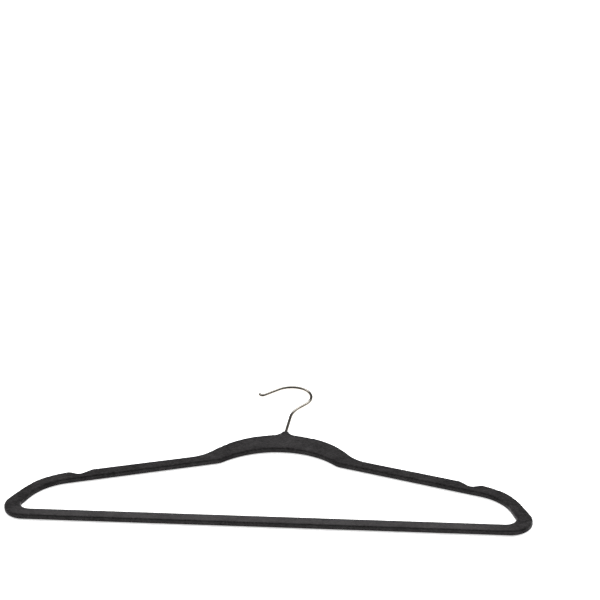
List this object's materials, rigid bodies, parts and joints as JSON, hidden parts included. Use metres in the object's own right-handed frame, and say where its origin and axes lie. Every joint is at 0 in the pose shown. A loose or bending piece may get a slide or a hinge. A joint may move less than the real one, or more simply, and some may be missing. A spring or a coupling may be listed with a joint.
{
  "type": "clothes hanger",
  "caption": "Slim flocked clothes hanger: one-piece frame with a trouser bar, strap notches in the shoulders and a wire hook that turns in the neck.",
  "frame": {"origin": "on the supporting surface, under the middle of the whole hanger's plan as it lies flat", "axes": "+X along the trouser bar, +Y from the bar towards the hook, +Z through the thickness, up from the surface"},
  "size_m": [0.45, 0.234, 0.005],
  "materials": {
    "flock": "short black nylon flock, matt with a soft sheen",
    "core_plastic": "moulded black ABS, hidden under the flock",
    "hook_wire": "bright pale champagne-gold plated steel wire"
  },
  "bodies": {
    "hanger": {"core": "core_plastic", "flock_coat": "flock"},
    "hook": {"swivel_hook": "hook_wire"}
  },
  "joints": [
    {"name": "hook_swivel", "type": "hinge", "parent": "hanger", "child": "hook", "pos_m": [0, 0.023, 0.0025], "axis": [0, 1, 0], "continuous": true}
  ]
}
